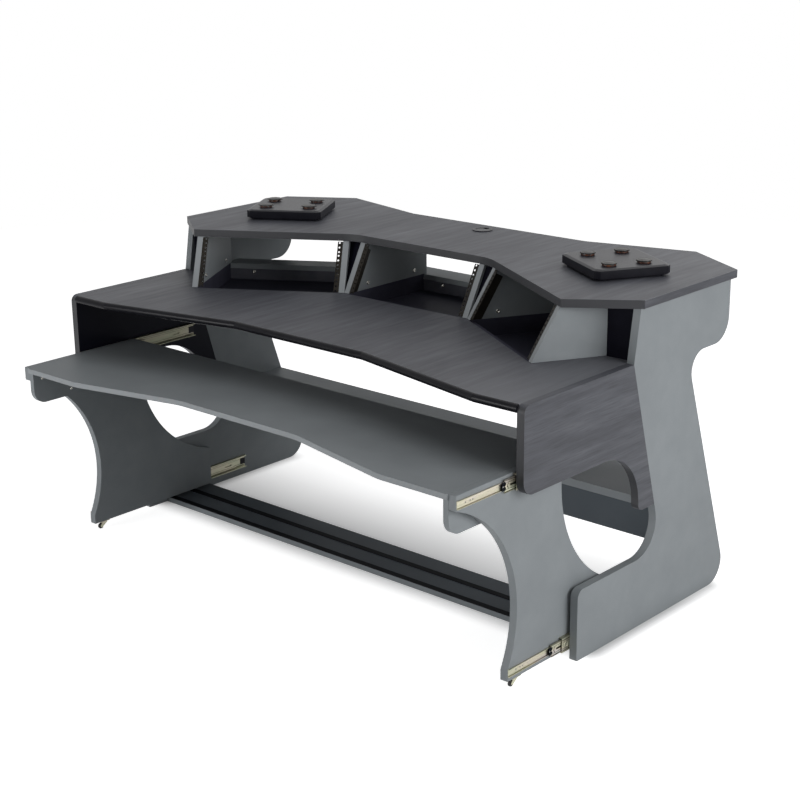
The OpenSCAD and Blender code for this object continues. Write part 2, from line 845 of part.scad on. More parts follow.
// Black buffer behind the front of each carriage's web, which passes the runner with a gap
module slide_stops() {
    stop_len = 20;
    stop_ahead = 8;
    stop_t = web_x + slide_t - runner_flange - clear;
    color(black) for (side = [-1, 1]) for (low = [false, true]) {
        place_slide(side, low, -carriage_out - stop_ahead)
            translate([web_x - stop_t, 0, -runner_h / 2]) cube([stop_t, stop_len, runner_h]);
    }
}

// Black cap that closes the rear end of each outer member
module slide_end_caps() {
    cap_len = 22;
    cap_t = 1.2;
    color(black) for (side = [-1, 1]) for (low = [false, true]) {
        place_slide(side, low, slide_len - cap_len)
            translate([-slide_wall - cap_t, 0, -runner_h / 2]) cube([cap_t, cap_len, runner_h]);
    }
}

// Keyboard tray

module keyboard_shelf() {
    bend_r = 200;
    color(grey) seat() lying(tray_z - tray_t, tray_t) polygon(rounded(both_sides([
        [pivot_x - tray_mid_short, front_end_y + tray_sweep, bend_r],
        [tray_leg_in_x - tray_end_w, front_end_y, bend_r],
        [tray_leg_in_x, front_end_y, 0],
        [tray_leg_in_x, tray_front_y + tray_leg_d, 0]
    ])));
}

// Leg with a sweep cut into its front edge and another into its rear edge
module tray_leg(side) {
    // Height at which the front sweep ends
    toe_h = 44;
    rear_y = tray_front_y + tray_leg_d;
    color(grey) on_side(side) upright(tray_leg_in_x, board_t) difference() {
        union() {
            translate([tray_front_y, tray_leg_gap + toe_h])
                square([tray_leg_d, tray_z - tray_leg_gap - toe_h]);
            translate([tray_front_y + tray_toe_in, tray_leg_gap])
                square([tray_heel_in - tray_toe_in, tray_rear_cz - tray_leg_gap]);
        }
        translate([tray_front_y - tray_front_cy, tray_front_cz]) circle(r = tray_front_r, $fn = 200);
        translate([rear_y + tray_rear_r, tray_rear_cz]) circle(r = tray_rear_r, $fn = 200);
    }
}

module tray_bracket(side) {
    top_z = tray_z - tray_t;
    rear_y = tray_front_y + bracket_len;
    color(grey) on_side(side) upright(tray_leg_in_x - thin_t, thin_t) polygon(rounded([
        [tray_front_y, top_z, 0],
        [tray_front_y, top_z - bracket_h, bracket_r],
        [rear_y, top_z - bracket_h, bracket_r / 2],
        [rear_y, top_z, 0]
    ]));
}

// Connector screws on the brackets' inner faces
module tray_screws() {
    front_y = tray_front_y + tray_screw_in;
    top_z = tray_z - tray_t - tray_screw_drop;
    color(nickel) for (side = [-1, 1]) for (i = [0, 1]) {
        on_side(side)
            translate([tray_leg_in_x - thin_t, front_y + i * tray_screw_step, top_z - i * tray_screw_fall])
            rotate([0, -90, 0]) screw_head(tray_screw_r);
    }
}

// Castors

plate_t = 2;
plate_len = 38;
crown_t = 2;
pin_r = 2.5;
pin_head_r = 4.5;
pin_head_h = 1;
crown_top_z = tray_leg_gap - plate_t - clear;
pin_end_z = crown_top_z - crown_t - clear - pin_head_h;
fork_wall = 1.5;
fork_gap = 0.5;

module castor_plates() {
    color(zinc) for (side = [-1, 1]) on_side(side) translate([castor_x, castor_y, 0]) {
        translate([-board_t / 2, -plate_len / 2, tray_leg_gap - plate_t]) cube([board_t, plate_len, plate_t]);
        translate([0, 0, pin_end_z]) {
            cylinder(r = pin_r, h = tray_leg_gap - plate_t / 2 - pin_end_z, $fn = 32);
            cylinder(r = pin_head_r, h = pin_head_h, $fn = 32);
        }
    }
}

// Crown with two cheeks that sweep forward and down to the axle
module castor_fork(side) {
    outer_w = wheel_w + 2 * (fork_gap + fork_wall);
    crown_r = 8;
    root_w = 5;
    tail = 13;
    tail_drop = 3;
    shoulder_drop = 10;
    low_z = wheel_r - 4.5;
    under_z = crown_top_z - crown_t;
    color(zinc) on_side(side) translate([castor_x, castor_y, 0]) {
        difference() {
            union() {
                translate([0, 0, under_z]) cylinder(r = crown_r, h = crown_t, $fn = 48);
                translate([-outer_w / 2, 0, under_z]) cube([outer_w, tail, crown_t]);
            }
            translate([0, 0, under_z - 1]) cylinder(r = pin_r + running_gap, h = crown_t + 2, $fn = 32);
        }
        for (x = [-outer_w / 2, outer_w / 2 - fork_wall]) translate([x, 0, 0]) upright(0, fork_wall) polygon([
            [tail, under_z], [-root_w, under_z], [-castor_trail - 4, wheel_r + 3],
            [-castor_trail - 4.5, wheel_r - 1], [-castor_trail - 2, low_z], [-castor_trail + 3, low_z],
            [root_w - 2, under_z - shoulder_drop], [tail, under_z - tail_drop]
        ]);
        translate([-outer_w / 2, -castor_trail, wheel_r]) rotate([0, 90, 0])
            cylinder(r = axle_r, h = outer_w, $fn = 32);
    }
}

module castor_wheel(side) {
    bore_r = axle_r + running_gap;
    edge = 1;
    color(black) on_side(side) translate([castor_x - wheel_w / 2, castor_y - castor_trail, wheel_r])
        rotate([0, 90, 0]) rotate_extrude($fn = 64) polygon([
            [bore_r, 0], [wheel_r - edge, 0], [wheel_r, edge],
            [wheel_r, wheel_w - edge], [wheel_r - edge, wheel_w], [bore_r, wheel_w]
        ]);
}

// Isolation pads

module place_pad(side) {
    middle = side > 0 ? bay_point(pad_right_u, pad_right_n) : bay_point(pad_left_u, pad_left_n);
    on_side(side) translate([middle[0], middle[1], shelf_top_z]) rotate([0, 0, -bay_turn]) children();
}

// Flat block whose upright corners are cut
module slab(w, d, h) {
    x = w / 2;
    y = d / 2;
    linear_extrude(h) polygon([
        [pad_corner - x, -y], [x - pad_corner, -y], [x, pad_corner - y], [x, y - pad_corner],
        [x - pad_corner, y], [pad_corner - x, y], [-x, y - pad_corner], [-x, pad_corner - y]
    ]);
}

module pad_tray(side) {
    color(black) place_pad(side) {
        slab(pad_w - 2 * pad_foot_in, pad_d - 2 * pad_foot_in, pad_foot_h);
        translate([0, 0, pad_foot_h]) hull() {
            slab(pad_w, pad_d, pad_body_h - pad_bevel_h);
            slab(pad_w - 2 * pad_bevel, pad_d - 2 * pad_bevel, pad_body_h);
        }
    }
}

// Each puck is a core with a wider cap and two small ears
module pad_pucks() {
    ear_r = 3;
    ear_out = 5;
    ear_t = 1.5;
    color(amber) for (side = [-1, 1]) place_pad(side) {
        for (u = [-0.5, 0.5]) for (n = [-0.5, 0.5]) {
            translate([u * puck_span_u, n * puck_span_n, pad_foot_h + pad_body_h]) {
                cylinder(r = puck_r - 3, h = puck_core_h, $fn = 40);
                translate([0, 0, puck_core_h]) cylinder(r = puck_r, h = puck_cap_t, $fn = 40);
                for (x = [-1, 1]) translate([x * (puck_r + ear_out - ear_r), 0, puck_core_h])
                    cylinder(r = ear_r, h = ear_t, $fn = 16);
            }
        }
    }
}

side_panel(-1);  // side_panel_left
side_panel(1);  // side_panel_right
cheek(-1);  // cheek_left
cheek(1);  // cheek_right
desktop();
desk_bumper();
top_shelf();
rack_side(-1, bay_w - rack_t);  // rack_side_left_outer
rack_side(-1, 0);  // rack_side_left_inner
rack_side(0, 0);  // rack_side_centre_left
rack_side(0, bay_w - rack_t);  // rack_side_centre_right
rack_side(1, 0);  // rack_side_right_inner
rack_side(1, bay_w - rack_t);  // rack_side_right_outer
rack_rails(-1);  // rack_rails_left
rack_rails(0);  // rack_rails_centre
rack_rails(1);  // rack_rails_right
rack_well(-1);  // rack_well_left
rack_well(0);  // rack_well_centre
rack_well(1);  // rack_well_right
rack_back(-1);  // rack_back_left
rack_back(0);  // rack_back_centre
rack_back(1);  // rack_back_right
rack_ledges();
wedge_fillers();
niche_panels();
cable_shelf();
stretcher();
floor_rail();
floor_rail_strips();
slide_outer(-1, false);  // slide_outer_upper_left
slide_outer(1, false);  // slide_outer_upper_right
slide_outer(-1, true);  // slide_outer_lower_left
slide_outer(1, true);  // slide_outer_lower_right
slide_carriage(-1, false);  // slide_carriage_upper_left
slide_carriage(1, false);  // slide_carriage_upper_right
slide_carriage(-1, true);  // slide_carriage_lower_left
slide_carriage(1, true);  // slide_carriage_lower_right
slide_runner(-1, false);  // slide_runner_upper_left
slide_runner(1, false);  // slide_runner_upper_right
slide_runner(-1, true);  // slide_runner_lower_left
slide_runner(1, true);  // slide_runner_lower_right
slide_stops();
slide_end_caps();
keyboard_shelf();
tray_leg(-1);  // tray_leg_left
tray_leg(1);  // tray_leg_right
tray_bracket(-1);  // tray_bracket_left
tray_bracket(1);  // tray_bracket_right
castor_plates();
castor_fork(-1);  // castor_fork_left
castor_fork(1);  // castor_fork_right
castor_wheel(-1);  // castor_wheel_left
castor_wheel(1);  // castor_wheel_right
grommet_ring();
grommet_cap();
pad_tray(-1);  // pad_tray_left
pad_tray(1);  // pad_tray_right
pad_pucks();
rack_screws();
tray_screws();
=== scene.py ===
# %% [markdown]
# # Studio desk, dressed in Blender
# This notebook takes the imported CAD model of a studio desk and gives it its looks. The desk has
# two shaped side panels, a dark wooden worktop with a black bumper, three rack bays that lean
# back, a top shelf with two isolation pads, and a keyboard tray that rolls out on telescopic
# slides and two castors. The CAD nodes stay where they are, and new pieces are made in metres in
# the same frame.

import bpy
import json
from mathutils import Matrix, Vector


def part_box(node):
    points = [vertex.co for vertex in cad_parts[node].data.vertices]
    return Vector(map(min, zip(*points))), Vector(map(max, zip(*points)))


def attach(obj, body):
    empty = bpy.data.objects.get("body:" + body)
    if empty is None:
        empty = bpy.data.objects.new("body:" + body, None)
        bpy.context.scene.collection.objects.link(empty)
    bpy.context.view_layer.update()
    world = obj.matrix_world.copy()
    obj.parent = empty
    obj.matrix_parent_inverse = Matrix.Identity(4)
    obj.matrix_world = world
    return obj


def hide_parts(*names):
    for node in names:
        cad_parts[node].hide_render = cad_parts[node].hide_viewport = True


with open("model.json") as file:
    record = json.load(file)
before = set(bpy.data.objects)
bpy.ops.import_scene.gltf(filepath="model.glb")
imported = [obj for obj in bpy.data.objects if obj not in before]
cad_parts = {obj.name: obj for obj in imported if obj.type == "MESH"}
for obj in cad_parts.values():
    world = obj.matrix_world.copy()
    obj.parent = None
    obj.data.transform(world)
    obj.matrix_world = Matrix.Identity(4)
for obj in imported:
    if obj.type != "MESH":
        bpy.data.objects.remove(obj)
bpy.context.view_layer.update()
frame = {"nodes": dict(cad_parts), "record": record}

# %% [markdown]
# ## Millimetres and metres
# Blender counts in metres, from the floor under the middle of the desk. The desk itself was
# measured in millimetres, backwards from the front edges of its two cheeks, the boards at the
# worktop's ends. The numbers could be converted by hand, but then they couldn't be compared with
# the real ones any more, so one helper turns a measured point into the desk's frame.

# %% Tools used all over
import json
import math
import bmesh
import bpy
from mathutils import Matrix, Vector

MM = 0.001
CHEEK_FRONT = 461
node = frame["nodes"]


def place(x, y, z):
    """A measured point in millimetres, as metres in the desk's frame."""
    return Vector((x * MM, (y - CHEEK_FRONT) * MM, z * MM))


print("the cheeks' front edge lies at", place(0, 0, 0)[:])

# %% [markdown]
# ## Camera
# The photograph was taken from the right of the desk, a little above the top shelf. A camera can
# be aimed by a constraint, but this one repeats a photograph, so its place, its angle and its lens
# were found beforehand by fitting the straight edges of the boards. A camera looks along its own
# -Z, so its rotation is simply the three directions right, up and backwards, written as a matrix's
# columns.

# %% Camera
camera_data = bpy.data.cameras.new("camera")
camera_data.lens = 73.99935
camera_data.sensor_width = 36
camera = bpy.data.objects.new("camera", camera_data)
bpy.context.scene.collection.objects.link(camera)
stand = (3.420855, -3.69043, 2.127145)
right = Vector((0.7456616, 0.66624361, -0.0104028))
up = Vector((-0.19305129, 0.23095344, 0.95362032))
back = Vector((0.63774601, -0.70906978, 0.3008323))
turn = Matrix((right, up, back)).transposed()
camera.matrix_world = Matrix.Translation(stand) @ turn.to_4x4()
bpy.context.scene.camera = camera
bpy.context.scene.view_settings.view_transform = "Standard"
print("camera stands", round(camera.location.length, 2), "m from the frame's origin")

# %% [markdown]
# ## Light and background
# A product photograph like this one is taken in a white studio: a wide soft light overhead, a wall
# of light on the right, and nothing but white around. One bright world could light it all, but
# then no board would be darker than another. So the world is white for the camera and for
# reflections, and dim for lighting, and large area lamps shape the boards. The Light Path node
# tells the rays apart.

# %% Helpers for node trees
def feed(tree, value, socket):
    """Gives a socket another node's output, a colour (r, g, b) or a number."""
    if hasattr(value, "node"):
        tree.links.new(value, socket)
    else:
        socket.default_value = (*value, 1) if isinstance(value, tuple) else value


def shader_node(tree, kind, **inputs):
    """Adds a node. Values are given by the socket's name, with _ for a space."""
    made = tree.nodes.new(kind)
    for name, value in inputs.items():
        feed(tree, value, made.inputs[name.replace("_", " ")])
    return made


def maths(tree, operation, first, second=0.0):
    """A Math node whose inputs are outputs of other nodes, or numbers."""
    made = tree.nodes.new("ShaderNodeMath")
    made.operation = operation
    feed(tree, first, made.inputs[0])
    feed(tree, second, made.inputs[1])
    return made.outputs[0]


def seen_directly(tree):
    """1 for camera, glossy and transmission rays, 0 for the rays that light things."""
    path = tree.nodes.new("ShaderNodeLightPath")
    shiny = maths(tree, "MAXIMUM", path.outputs["Is Glossy Ray"],
                  path.outputs["Is Transmission Ray"])
    return maths(tree, "MAXIMUM", path.outputs["Is Camera Ray"], shiny)


# %% World
world = bpy.data.worlds.new("studio")
bpy.context.scene.world = world
world.use_nodes = True
tree = world.node_tree
tree.nodes.clear()
dim = shader_node(tree, "ShaderNodeBackground", Color=(0.97, 0.985, 1.0), Strength=0.02)
white = shader_node(tree, "ShaderNodeBackground", Color=(1, 1, 1), Strength=1.0)
choice = tree.nodes.new("ShaderNodeMixShader")
sky = tree.nodes.new("ShaderNodeOutputWorld")
feed(tree, seen_directly(tree), choice.inputs[0])
feed(tree, dim.outputs[0], choice.inputs[1])
feed(tree, white.outputs[0], choice.inputs[2])
feed(tree, choice.outputs[0], sky.inputs[0])
print("world lights at", round(dim.inputs["Strength"].default_value, 3))


# %% Lamps
def soft_lamp(name, size, power, at, towards):
    """A square lamp: its side in metres, its power in watts, its place, and where it looks."""
    lamp = bpy.data.lights.new(name, "AREA")
    lamp.shape = "SQUARE"
    lamp.size = size
    lamp.energy = power
    made = bpy.data.objects.new(name, lamp)
    bpy.context.scene.collection.objects.link(made)
    made.location = at
    made.rotation_euler = (Vector(towards) - Vector(at)).to_track_quat("-Z", "Y").to_euler()


soft_lamp("overhead", 3.2, 32, (0.4, 0.3, 3.9), (0, 0, 0.4))
soft_lamp("light_wall", 3.0, 116, (4.4, 0.1, 1.9), (0, 0, 0.5))
soft_lamp("camera_side", 2.4, 20, (3.6, -3.0, 2.2), (0, 0, 0.5))
soft_lamp("front_left", 2.0, 106, (-1.6, -4.6, 0.9), (0, 0, 0.6))
soft_lamp("rear", 2.4, 19, (0.0, 3.4, 3.0), (0, 0, 0.5))

# %% [markdown]
# ## Floor
# The desk stands on pale paper that fades into the white behind it. A shadow catcher would keep
# the shadow and nothing else, but the paper also throws light up under the boards, so it is a real
# disc here, with a glow that only the camera sees. The glow is weak between the desk's feet and
# strong around them, so the desk's own shadow stays, the weak glow paints shade over the
# footprint, and the open floor is as white as the background. Right beside the fixed feet a shadow
# is painted into the paper's colour and glow, as where a board stands on a floor. Under the tray
# none is painted, because the tray rolls away.

# %% Floor
FLOOR_RADIUS = 6.0
flat = bmesh.new()
bmesh.ops.create_circle(flat, cap_ends=True, segments=96, radius=FLOOR_RADIUS)
floor_mesh = bpy.data.meshes.new("floor")
flat.to_mesh(floor_mesh)
flat.free()
floor = bpy.data.objects.new("floor", floor_mesh)
bpy.context.scene.collection.objects.link(floor)
print("floor of", len(floor_mesh.polygons), "face")


# %% Helpers for the paper
def split(tree, what):
    """X, Y and Z of a face's Object coordinates, in metres, or of its Normal."""
    where = tree.nodes.new("ShaderNodeTexCoord")
    parts = tree.nodes.new("ShaderNodeSeparateXYZ")
    feed(tree, where.outputs[what], parts.inputs[0])
    return parts.outputs


def rise(tree, source, low, high):
    """Goes softly from 0 where the source is low to 1 where it is high."""
    made = shader_node(tree, "ShaderNodeMapRange", From_Min=low, From_Max=high)
    made.interpolation_type = "SMOOTHSTEP"
    feed(tree, source, made.inputs["Value"])
    return made.outputs[0]


def mixed(tree, amount, first, second):
    """Colour first where amount is 0 and second where it is 1."""
    made = tree.nodes.new("ShaderNodeMix")
    made.data_type = "RGBA"
    # A Mix node has sockets for every kind of value; 6, 7 and the third output are for colours.
    feed(tree, amount, made.inputs[0])
    feed(tree, first, made.inputs[6])
    feed(tree, second, made.inputs[7])
    return made.outputs[2]


# %% Parts of the paper
# The middle of a fixed foot, and how deep the painted shadow right beside it is.
FOOT_X, FOOT_Y = 0.94, 0.19
CONTACT_LOSS = 0.62

floor_finish = bpy.data.materials.new("floor_paper")
floor_finish.use_nodes = True
tree = floor_finish.node_tree
tree.nodes.clear()
spot = split(tree, "Object")
sideways = maths(tree, "ABSOLUTE", spot["X"])
in_front = rise(tree, spot["Y"], -0.10, -0.21)
behind = rise(tree, spot["Y"], -0.02, 0.60)
beside = rise(tree, sideways, 0.90, 1.02)
around = maths(tree, "MAXIMUM", maths(tree, "MAXIMUM", in_front, behind), beside)
where = tree.nodes.new("ShaderNodeTexCoord")
distance = tree.nodes.new("ShaderNodeVectorMath")
distance.operation = "LENGTH"
feed(tree, where.outputs["Object"], distance.inputs[0])
far_off = rise(tree, distance.outputs["Value"], 0.9, 2.2)
off_board = maths(tree, "ABSOLUTE", maths(tree, "SUBTRACT", sideways, FOOT_X))
along_board = maths(tree, "ABSOLUTE", maths(tree, "SUBTRACT", spot["Y"], FOOT_Y))
# Painted shadow: a soft dark band on the paper right beside the fixed feet.
contact = maths(tree, "MULTIPLY", rise(tree, off_board, 0.075, 0.0),
                rise(tree, along_board, 0.38, 0.30))
outside_painted_shadow = maths(tree, "SUBTRACT", 1.0, maths(tree, "MULTIPLY", contact, CONTACT_LOSS))
print("parts of the paper made with", len(tree.nodes), "nodes")

# %% Paper and its glow
# The glow is weaker under the desk than around it, which paints shade over the desk's footprint.
GLOW_UNDER_DESK, GLOW_ADDED_AROUND, GLOW_ADDED_FAR_OFF = 0.26, 0.60, 0.11
PAPER, SHADOWED_PAPER = (0.84, 0.845, 0.85), (0.10, 0.10, 0.105)

glow = maths(tree, "ADD", maths(tree, "MULTIPLY", around, GLOW_ADDED_AROUND), GLOW_UNDER_DESK)
glow = maths(tree, "ADD", glow, maths(tree, "MULTIPLY", far_off, GLOW_ADDED_FAR_OFF))
# The painted shadow beside the feet dims the glow and darkens the paper's colour.
glow = maths(tree, "MULTIPLY", glow, outside_painted_shadow)
lifted = tree.nodes.new("ShaderNodeEmission")
feed(tree, maths(tree, "MULTIPLY", seen_directly(tree), glow), lifted.inputs["Strength"])
paper = tree.nodes.new("ShaderNodeBsdfDiffuse")
feed(tree, mixed(tree, outside_painted_shadow, SHADOWED_PAPER, PAPER), paper.inputs["Color"])
both = tree.nodes.new("ShaderNodeAddShader")
feed(tree, paper.outputs[0], both.inputs[0])
feed(tree, lifted.outputs[0], both.inputs[1])
ground = tree.nodes.new("ShaderNodeOutputMaterial")
feed(tree, both.outputs[0], ground.inputs[0])
floor_mesh.materials.append(floor_finish)
print(floor_finish.name, "has", len(tree.nodes), "nodes")

# %% [markdown]
# ## Finishes
# Every finish starts from the Principled shader and a few procedural patterns. Photographs of wood
# or steel could be wrapped round the boards instead, but a pattern needs no unwrapping, has no
# edge where it repeats, and stays sharp at any distance. All patterns read Object coordinates,
# which are metres in the desk's frame, so a scale of 70 means features about 14 mm wide.
# Stretching a noise along one axis makes streaks. The helpers below keep each finish short.

# %% Helpers for finishes
def new_finish(name, metallic=0.0, roughness=0.5, specular=0.5):
    """A material, its node tree and its Principled shader."""
    finish = bpy.data.materials.new(name)
    finish.use_nodes = True
    shader = finish.node_tree.nodes["Principled BSDF"]
    shader.inputs["Metallic"].default_value = metallic
    shader.inputs["Roughness"].default_value = roughness
    shader.inputs["Specular IOR Level"].default_value = specular
    return finish, finish.node_tree, shader


def pattern(tree, stretch, detail=3.0, shift=(0, 0, 0)):
    """Noise on Object coordinates, scaled by stretch along X, Y and Z."""
    where = tree.nodes.new("ShaderNodeTexCoord")
    fit = tree.nodes.new("ShaderNodeMapping")
    fit.inputs["Scale"].default_value = stretch
    fit.inputs["Location"].default_value = shift
    noise = shader_node(tree, "ShaderNodeTexNoise", Scale=1.0, Detail=detail, Roughness=0.55)
    feed(tree, where.outputs["Object"], fit.inputs["Vector"])
    feed(tree, fit.outputs["Vector"], noise.inputs["Vector"])
    return noise.outputs["Fac"]


def spread(tree, source, low, high, to_low, to_high):
    """Turns low into to_low and high into to_high, evenly between them and not beyond."""
    made = shader_node(tree, "ShaderNodeMapRange", From_Min=low, From_Max=high,
                       To_Min=to_low, To_Max=to_high)
    feed(tree, source, made.inputs["Value"])
    return made.outputs[0]


def colours(tree, source, stops):
    """A colour ramp; stops are (place, (r, g, b)) in linear colour."""
    ramp = tree.nodes.new("ShaderNodeValToRGB")
    points = ramp.color_ramp.elements
    while len(points) < len(stops):
        points.new(0.5)
    for point, (at, colour) in zip(points, stops):
        point.position = at
        point.color = (*colour, 1)
    feed(tree, source, ramp.inputs[0])
    return ramp.outputs[0]


def relief(tree, shader, source, height, strength):
    """Bump, where 1 in the source stands this many millimetres higher than 0."""
    bump = shader_node(tree, "ShaderNodeBump", Strength=strength, Distance=height * MM)
    feed(tree, source, bump.inputs["Height"])
    feed(tree, bump.outputs[0], shader.inputs["Normal"])


def facing(tree, axis):
    """How far a face looks along an axis of the desk: 0 across it, 1 straight along it."""
    return maths(tree, "ABSOLUTE", split(tree, "Normal")[axis])


# %% [markdown]
# ### Dark wood
# The worktop, the top shelf and the two cheeks are faced with a dark stained wood. A wave texture
# draws planks with rings, but a veneer like this one is calmer, so its grain is made of three
# noises stretched from front to back: broad soft clouds, lighter streaks a few centimetres apart,
# and fine dark fibres. The lacquer is dull and only shines at a low angle. The ends of the boards
# carry a plain banding, so the pattern fades on faces that look along Y, and their eased edges get
# a painted highlight. The cheeks are the same boards with a black inner face, and a painted sheen
# lightens the worktop's veneer towards its right end.

# %% Helpers for boards
def arris(tree, axis):
    """About 1 on the narrow eased edges of a board that is thin along an axis, 0 elsewhere."""
    look = facing(tree, axis)
    return maths(tree, "MULTIPLY", spread(tree, look, 0.25, 0.40, 0.0, 1.0),
                 spread(tree, look, 0.97, 0.90, 0.0, 1.0))


def inward(tree):
    """Above 0.6 on the faces near the desk's ends that look towards its middle."""
    away = maths(tree, "MULTIPLY", split(tree, "Normal")["X"], split(tree, "Object")["X"])
    return maths(tree, "MULTIPLY", away, -1)


# %% Dark wood
DARK_FIBRE, PALE_FIBRE = (0.020, 0.020, 0.024), (0.094, 0.095, 0.104)
WOOD_BANDING, WOOD_ARRIS_HIGHLIGHT = (0.038, 0.039, 0.043), (0.150, 0.152, 0.162)
SHEEN_VENEER, CHEEK_INSIDE = (0.155, 0.160, 0.176), (0.0030, 0.0034, 0.0075)
LACQUER_SHINE, INSIDE_SHINE = 0.25, 0.08


def wooden(name, black_inside=False, sheen_end=False):
    """The cheeks are black inside, and the worktop's right end gets a painted sheen."""
    finish, tree, shader = new_finish(name, specular=LACQUER_SHINE)
    clouds = pattern(tree, (5.0, 1.0, 5.0), 2.0)
    streaks = pattern(tree, (48.0, 4.2, 48.0), 4.0, (3.1, 0.7, 1.3))
    fibres = pattern(tree, (330.0, 14.0, 330.0), 3.0, (0, 5.2, 0))
    grain = maths(tree, "ADD", maths(tree, "MULTIPLY", clouds, 0.45),
                  maths(tree, "MULTIPLY", streaks, 0.55))
    veneer = colours(tree, grain, [
        (0.32, (0.035, 0.037, 0.045)), (0.46, (0.049, 0.051, 0.061)),
        (0.56, (0.064, 0.067, 0.079)), (0.70, (0.098, 0.102, 0.118))])
    veneer = mixed(tree, spread(tree, fibres, 0.54, 0.68, 0.0, 0.38), veneer, DARK_FIBRE)
    veneer = mixed(tree, spread(tree, fibres, 0.46, 0.32, 0.0, 0.24), veneer, PALE_FIBRE)
    # Painted sheen: the worktop's veneer is lightened towards its right end, where light glances
    # off it.
    if sheen_end:
        end = spread(tree, split(tree, "Object")["X"], 0.55, 0.85, 0.0, 0.55)
        veneer = mixed(tree, end, veneer, SHEEN_VENEER)
    banded = spread(tree, facing(tree, "Y"), 0.6, 0.8, 0.0, 1.0)
    surface = mixed(tree, banded, veneer, WOOD_BANDING)
    # Painted highlight: the narrow eased edges are lightened to a pale arris colour.
    surface = mixed(tree, arris(tree, "X" if black_inside else "Z"), surface, WOOD_ARRIS_HIGHLIGHT)
    if black_inside:
        inside = spread(tree, inward(tree), 0.6, 0.7, 0.0, 1.0)
        surface = mixed(tree, inside, surface, CHEEK_INSIDE)
        feed(tree, spread(tree, inside, 0.0, 1.0, LACQUER_SHINE, INSIDE_SHINE),
             shader.inputs["Specular IOR Level"])
    feed(tree, surface, shader.inputs["Base Color"])
    feed(tree, spread(tree, grain, 0.3, 0.7, 0.54, 0.46), shader.inputs["Roughness"])
    grooves = maths(tree, "MULTIPLY", spread(tree, fibres, 0.5, 0.7, 1.0, 0.0),
                    spread(tree, facing(tree, "Y"), 0.6, 0.8, 1.0, 0.0))
    relief(tree, shader, grooves, 0.05, 0.5)
    print(name, "has", len(tree.nodes), "nodes")
    return finish


dark_wood = wooden("dark_wood")
desktop_wood = wooden("desktop_wood", sheen_end=True)
cheek_wood = wooden("cheek_wood", black_inside=True)

# %% [markdown]
# ### Grey board
# The side panels, the rack boards, the tray and the lower boards are laminated in a cool grey. One
# flat colour would look like plastic, and such a laminate isn't quite even: it has a faint mottle
# and a fine orange-peel surface, which are felt more than seen, so the noises here are weak. The
# rack boards and the tray have a banding on their front edges, a little lighter than the faces,
# partly in its own colour and partly as a painted highlight. The two lowest boards, the stretcher
# and the floor rail, get painted shade: the stretcher is darker all over, the floor rail most on
# its top, as boards under the desk.

# %% Grey board
GREY_BANDING_AND_HIGHLIGHT, SHADED_GREY = (0.290, 0.308, 0.321), (0.0, 0.010, 0.024)


def laminated(name, banded=False, top=1.0, sides=1.0, specular=0.14):
    """top and sides are how much of the grey is left on level and on upright faces."""
    finish, tree, shader = new_finish(name, specular=specular)
    mottle = pattern(tree, (9.0, 9.0, 9.0), 4.0)
    speckle = pattern(tree, (900.0, 900.0, 900.0), 2.0)
    peel = pattern(tree, (420.0, 420.0, 420.0), 2.0, (1.7, 0, 0.4))
    shade = maths(tree, "ADD", maths(tree, "MULTIPLY", mottle, 0.7),
                  maths(tree, "MULTIPLY", speckle, 0.3))
    laminate = colours(tree, shade, [
        (0.34, (0.214, 0.232, 0.244)), (0.50, (0.230, 0.249, 0.261)),
        (0.66, (0.248, 0.268, 0.281))])
    if banded:
        # The front-edge banding is partly the edges' own colour and partly a painted highlight.
        banding = spread(tree, facing(tree, "Y"), 0.6, 0.7, 0.0, 1.0)
        laminate = mixed(tree, banding, laminate, GREY_BANDING_AND_HIGHLIGHT)
    # Painted shade: level and upright faces are darkened towards a bluish grey, as under the desk.
    if top < 1.0:
        shaded = spread(tree, facing(tree, "Z"), 0.3, 0.8, 1 - sides, 1 - top)
        laminate = mixed(tree, shaded, laminate, SHADED_GREY)
    feed(tree, laminate, shader.inputs["Base Color"])
    feed(tree, spread(tree, mottle, 0.35, 0.65, 0.47, 0.54), shader.inputs["Roughness"])
    relief(tree, shader, peel, 0.02, 0.5)
    print(name, "has", len(tree.nodes), "nodes")
    return finish


grey_board = laminated("grey_board")
banded_board = laminated("banded_board", banded=True)
# Painted shade on the floor rail's top and on the whole stretcher.
rail_board = laminated("rail_board", top=0.42, sides=0.92, specular=0.06)
stretcher_board = laminated("stretcher_board", top=0.36, sides=0.36, specular=0.10)

# %% [markdown]
# ### Black boards
# The niche panels and the fillers are black laminate, matt and lightly textured. The wells are a
# softer black with a touch of blue, and the back boards behind them are painted paler, as light
# that reaches them. A pure black would look like a hole in the desk, so each black is a mottle of
# two, as if a little dust lay on it.

# %% Black boards
def black_laminate(name, dark, light, floor_colour=None, specular=0.14):
    """floor_colour is for level faces; without it they are like the others."""
    finish, tree, shader = new_finish(name, specular=specular)
    mottle = pattern(tree, (14.0, 14.0, 14.0), 3.0)
    tooth = pattern(tree, (700.0, 700.0, 700.0), 2.0)
    surface = colours(tree, mottle, [(0.35, dark), (0.65, light)])
    if floor_colour:
        level = spread(tree, facing(tree, "Z"), 0.6, 0.8, 0.0, 1.0)
        surface = mixed(tree, level, surface, floor_colour)
    feed(tree, surface, shader.inputs["Base Color"])
    feed(tree, spread(tree, tooth, 0.3, 0.7, 0.44, 0.60), shader.inputs["Roughness"])
    relief(tree, shader, tooth, 0.03, 0.6)
    print(name, "has", len(tree.nodes), "nodes")
    return finish


niche_black = black_laminate("niche_black", (0.0022, 0.0022, 0.0050), (0.0040, 0.0040, 0.0080),
                             specular=0.03)
well_black = black_laminate("well_black", (0.036, 0.036, 0.052), (0.048, 0.048, 0.068),
                            floor_colour=(0.042, 0.042, 0.060), specular=0.05)
# Painted light: the back boards are paler than the wells, standing in for light that falls on
# them.
back_black = black_laminate("back_black", (0.084, 0.086, 0.104), (0.108, 0.110, 0.130),
                            specular=0.08)
